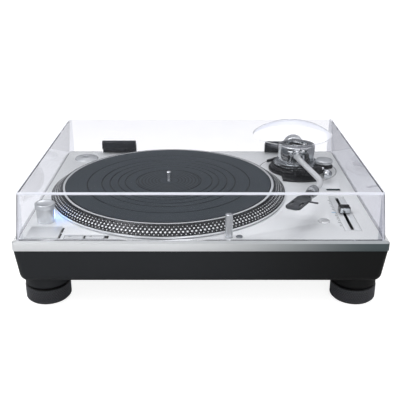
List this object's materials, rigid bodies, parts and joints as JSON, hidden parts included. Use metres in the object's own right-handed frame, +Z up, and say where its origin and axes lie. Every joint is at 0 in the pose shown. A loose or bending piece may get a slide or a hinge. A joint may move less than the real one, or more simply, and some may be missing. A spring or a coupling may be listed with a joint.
{
  "type": "direct drive turntable",
  "caption": "Record player: strobe-rimmed platter on a flat motor, S-shaped tonearm on a gimbal, silver deck in a dark cabinet, adjustable feet and a hinged clear cover",
  "frame": {"origin": "on the floor under the middle of the deck plate", "axes": "+X to the right, +Y to the back, +Z up"},
  "size_m": [0.4572, 0.353, 0.1803],
  "materials": {
    "top_plate": "satin silver",
    "cabinet": "fine-grained dark grey",
    "bottom_cover": "plain black",
    "screws": "blackened steel",
    "motor_base": "as-cast",
    "stator": "wound coils on a board",
    "bearing_sleeve": "turned",
    "control_board": "circuit board",
    "power_board": "circuit board",
    "hinge_sockets": "moulded dark grey",
    "hinge_pins": "ground steel",
    "output_panel": "plain black",
    "output_jacks": "plated",
    "ground_terminal": "plated steel",
    "mains_inlet": "moulded black",
    "strobe_tower": "turned",
    "strobe_window": "blue lens",
    "pitch_panel": "satin silver",
    "fader_body": "plain black",
    "arm_flange": "satin black",
    "platter": "black with polished lip and dots",
    "rotor_magnet": "ferrite",
    "spindle": "polished",
    "rubber_mat": "matt slate",
    "dust_cover": "clear",
    "hinge_arms": "moulded dark grey",
    "arm_pillar": "turned",
    "arm_bracket": "satin black",
    "arm_rest": "satin black",
    "yoke": "polished",
    "gimbal_ring": "polished",
    "arm_tube": "satin silver",
    "height_ring": "satin black with white marks",
    "arm_lock_lever": "satin black",
    "arm_clip": "satin dark grey",
    "antiskate_dial": "satin silver with dark marks",
    "cue_lever": "silver-white",
    "lift_bar": "blackened",
    "weight_sleeve": "threaded",
    "counterweight": "satin silver",
    "force_ring": "black with white marks",
    "shell_collar": "knurled",
    "headshell": "dark gunmetal grey",
    "power_knob": "turned",
    "start_stop_button": "satin silver",
    "speed_button_33": "satin silver",
    "speed_button_45": "satin silver",
    "target_light": "turned",
    "target_button": "dark grey",
    "pitch_knob": "black with a white line",
    "reset_button": "dark grey",
    "record_adapter": "turned",
    "foot_pad_fl": "black rubber",
    "foot_ring_fl": "satin dark grey",
    "foot_pad_fr": "black rubber",
    "foot_ring_fr": "satin dark grey",
    "foot_pad_rl": "black rubber",
    "foot_ring_rl": "satin dark grey",
    "foot_pad_rr": "black rubber",
    "foot_ring_rr": "satin dark grey"
  },
  "bodies": {
    "root": {"top_plate": "top_plate", "cabinet": "cabinet", "bottom_cover": "bottom_cover", "screws": "screws", "motor_base": "motor_base", "stator": "stator", "bearing_sleeve": "bearing_sleeve", "control_board": "control_board", "power_board": "power_board", "hinge_sockets": "hinge_sockets", "hinge_pins": "hinge_pins", "output_panel": "output_panel", "output_jacks": "output_jacks", "ground_terminal": "ground_terminal", "mains_inlet": "mains_inlet", "strobe_tower": "strobe_tower", "strobe_window": "strobe_window", "pitch_panel": "pitch_panel", "fader_body": "fader_body", "arm_flange": "arm_flange"},
    "platter": {"platter": "platter", "rotor_magnet": "rotor_magnet", "spindle": "spindle", "rubber_mat": "rubber_mat"},
    "cover": {"dust_cover": "dust_cover", "hinge_arms": "hinge_arms"},
    "arm_base": {"arm_pillar": "arm_pillar", "arm_bracket": "arm_bracket", "arm_rest": "arm_rest"},
    "yoke": {"yoke": "yoke"},
    "arm": {"gimbal_ring": "gimbal_ring", "arm_tube": "arm_tube"},
    "height_ring": {"height_ring": "height_ring"},
    "arm_lock_lever": {"arm_lock_lever": "arm_lock_lever"},
    "arm_clip": {"arm_clip": "arm_clip"},
    "antiskate_dial": {"antiskate_dial": "antiskate_dial"},
    "cue_lever": {"cue_lever": "cue_lever"},
    "lift_bar": {"lift_bar": "lift_bar"},
    "weight_sleeve": {"weight_sleeve": "weight_sleeve"},
    "counterweight": {"counterweight": "counterweight"},
    "force_ring": {"force_ring": "force_ring"},
    "shell_collar": {"shell_collar": "shell_collar"},
    "headshell": {"headshell": "headshell"},
    "power_knob": {"power_knob": "power_knob"},
    "start_stop_button": {"start_stop_button": "start_stop_button"},
    "speed_button_33": {"speed_button_33": "speed_button_33"},
    "speed_button_45": {"speed_button_45": "speed_button_45"},
    "target_light": {"target_light": "target_light"},
    "target_button": {"target_button": "target_button"},
    "pitch_knob": {"pitch_knob": "pitch_knob"},
    "reset_button": {"reset_button": "reset_button"},
    "record_adapter": {"record_adapter": "record_adapter"},
    "foot_pad_fl": {"foot_pad_fl": "foot_pad_fl"},
    "foot_ring_fl": {"foot_ring_fl": "foot_ring_fl"},
    "foot_pad_fr": {"foot_pad_fr": "foot_pad_fr"},
    "foot_ring_fr": {"foot_ring_fr": "foot_ring_fr"},
    "foot_pad_rl": {"foot_pad_rl": "foot_pad_rl"},
    "foot_ring_rl": {"foot_ring_rl": "foot_ring_rl"},
    "foot_pad_rr": {"foot_pad_rr": "foot_pad_rr"},
    "foot_ring_rr": {"foot_ring_rr": "foot_ring_rr"}
  },
  "joints": [
    {"name": "platter_spin", "type": "hinge", "parent": "root", "child": "platter", "pos_m": [-0.0455, -0.005, 0.1139], "axis": [0, 0, -1], "continuous": true},
    {"name": "cover_hinge", "type": "hinge", "parent": "root", "child": "cover", "pos_m": [0, 0.1718, 0.109], "axis": [-1, 0, 0], "range_deg": [0, 62]},
    {"name": "height_ring_turn", "type": "hinge", "parent": "root", "child": "height_ring", "pos_m": [0.14904, 0.08654, 0.1033], "axis": [0, 0, 1], "range_deg": [0, 300]},
    {"name": "arm_height", "type": "slide", "parent": "root", "child": "arm_base", "axis": [0, 0, 1], "range_m": [0, 0.006]},
    {"name": "arm_lock", "type": "hinge", "parent": "root", "child": "arm_lock_lever", "pos_m": [0.12154, 0.1205, 0.103], "axis": [0, 0, -1], "range_deg": [0, 40]},
    {"name": "arm_swing", "type": "hinge", "parent": "arm_base", "child": "yoke", "pos_m": [0.14904, 0.08654, 0.1152], "axis": [0, 0, -1], "range_deg": [0, 44]},
    {"name": "arm_tilt", "type": "hinge", "parent": "yoke", "child": "arm", "pos_m": [0.14904, 0.08654, 0.1255], "axis": [-0.9986, 0.0523, 0], "range_deg": [0, 3]},
    {"name": "weight_shift", "type": "slide", "parent": "arm", "child": "weight_sleeve", "axis": [0.0523, 0.9982, -0.0279], "range_m": [-0.001, 0.005]},
    {"name": "weight_turn", "type": "hinge", "parent": "weight_sleeve", "child": "counterweight", "pos_m": [0.14904, 0.08654, 0.1255], "axis": [0.0523, 0.9982, -0.0279], "range_deg": [-240, 1200]},
    {"name": "force_dial_turn", "type": "hinge", "parent": "counterweight", "child": "force_ring", "pos_m": [0.14904, 0.08654, 0.1255], "axis": [0.0523, 0.9982, -0.0279], "range_deg": [-180, 180]},
    {"name": "collar_turn", "type": "hinge", "parent": "arm", "child": "shell_collar", "pos_m": [0.14202, -0.09707, 0.13063], "axis": [-0.5045, -0.863, 0.0248], "range_deg": [0, 60]},
    {"name": "headshell_pull", "type": "slide", "parent": "arm", "child": "headshell", "axis": [-0.5045, -0.863, 0.0248], "range_m": [0, 0.015]},
    {"name": "arm_clip_hinge", "type": "hinge", "parent": "arm_base", "child": "arm_clip", "pos_m": [0.15773, 0.03585, 0.12894], "axis": [0.153, -0.9882, 0], "range_deg": [0, 75]},
    {"name": "antiskate_turn", "type": "hinge", "parent": "arm_base", "child": "antiskate_dial", "pos_m": [0.19004, 0.07154, 0.1108], "axis": [0, 0, -1], "range_deg": [0, 300]},
    {"name": "cue_lever_lift", "type": "hinge", "parent": "arm_base", "child": "cue_lever", "pos_m": [0.17704, 0.04554, 0.1138], "axis": [-1, 0, 0], "range_deg": [0, 60]},
    {"name": "lift_bar_rise", "type": "slide", "parent": "arm_base", "child": "lift_bar", "axis": [0, 0, 1], "range_m": [0, 0.006]},
    {"name": "power_turn", "type": "hinge", "parent": "root", "child": "power_knob", "pos_m": [-0.1986, -0.115, 0.119], "axis": [0, 0, 1], "range_deg": [0, 45]},
    {"name": "start_stop_press", "type": "slide", "parent": "root", "child": "start_stop_button", "axis": [0, 0, -1], "range_m": [0, 0.0012], "stiffness_N_per_m": 250, "springref_m": -0.001},
    {"name": "speed_33_press", "type": "slide", "parent": "root", "child": "speed_button_33", "axis": [0, 0, -1], "range_m": [0, 0.001], "stiffness_N_per_m": 250, "springref_m": -0.001},
    {"name": "speed_45_press", "type": "slide", "parent": "root", "child": "speed_button_45", "axis": [0, 0, -1], "range_m": [0, 0.001], "stiffness_N_per_m": 250, "springref_m": -0.001},
    {"name": "target_button_press", "type": "slide", "parent": "root", "child": "target_button", "axis": [0, 0, -1], "range_m": [0, 0.001], "stiffness_N_per_m": 250, "springref_m": -0.001},
    {"name": "reset_press", "type": "slide", "parent": "root", "child": "reset_button", "axis": [0, 0, -1], "range_m": [0, 0.0012], "stiffness_N_per_m": 250, "springref_m": -0.001},
    {"name": "target_light_drop", "type": "slide", "parent": "root", "child": "target_light", "axis": [0, 0, -1], "range_m": [0, 0.027], "stiffness_N_per_m": 40, "springref_m": -0.01},
    {"name": "pitch_slide", "type": "slide", "parent": "root", "child": "pitch_knob", "axis": [0, 1, 0], "range_m": [-0.045, 0.045]},
    {"name": "adapter_lift", "type": "slide", "parent": "root", "child": "record_adapter", "axis": [0, 0, 1], "range_m": [0, 0.02]},
    {"name": "foot_fl_height", "type": "slide", "parent": "root", "child": "foot_pad_fl", "axis": [0, 0, -1], "range_m": [0, 0.008]},
    {"name": "foot_fl_turn", "type": "hinge", "parent": "foot_pad_fl", "child": "foot_ring_fl", "pos_m": [-0.1996, -0.1295, 0], "axis": [0, 0, 1], "range_deg": [0, 1440]},
    {"name": "foot_fr_height", "type": "slide", "parent": "root", "child": "foot_pad_fr", "axis": [0, 0, -1], "range_m": [0, 0.008]},
    {"name": "foot_fr_turn", "type": "hinge", "parent": "foot_pad_fr", "child": "foot_ring_fr", "pos_m": [0.1996, -0.1295, 0], "axis": [0, 0, 1], "range_deg": [0, 1440]},
    {"name": "foot_rl_height", "type": "slide", "parent": "root", "child": "foot_pad_rl", "axis": [0, 0, -1], "range_m": [0, 0.008]},
    {"name": "foot_rl_turn", "type": "hinge", "parent": "foot_pad_rl", "child": "foot_ring_rl", "pos_m": [-0.1996, 0.1295, 0], "axis": [0, 0, 1], "range_deg": [0, 1440]},
    {"name": "foot_rr_height", "type": "slide", "parent": "root", "child": "foot_pad_rr", "axis": [0, 0, -1], "range_m": [0, 0.008]},
    {"name": "foot_rr_turn", "type": "hinge", "parent": "foot_pad_rr", "child": "foot_ring_rr", "pos_m": [0.1996, 0.1295, 0], "axis": [0, 0, 1], "range_deg": [0, 1440]}
  ],
  "couplings": [
    {"joint": "height_ring_turn", "follows": "arm_height", "rad_per_m": 872.66},
    {"joint": "weight_turn", "follows": "weight_shift", "rad_per_m": 4188.8},
    {"joint": "cue_lever_lift", "follows": "lift_bar_rise", "rad_per_m": 174.53},
    {"joint": "foot_fl_height", "follows": "foot_fl_turn", "m_per_rad": 0.0003183},
    {"joint": "foot_fr_height", "follows": "foot_fr_turn", "m_per_rad": 0.0003183},
    {"joint": "foot_rl_height", "follows": "foot_rl_turn", "m_per_rad": 0.0003183},
    {"joint": "foot_rr_height", "follows": "foot_rr_turn", "m_per_rad": 0.0003183}
  ]
}
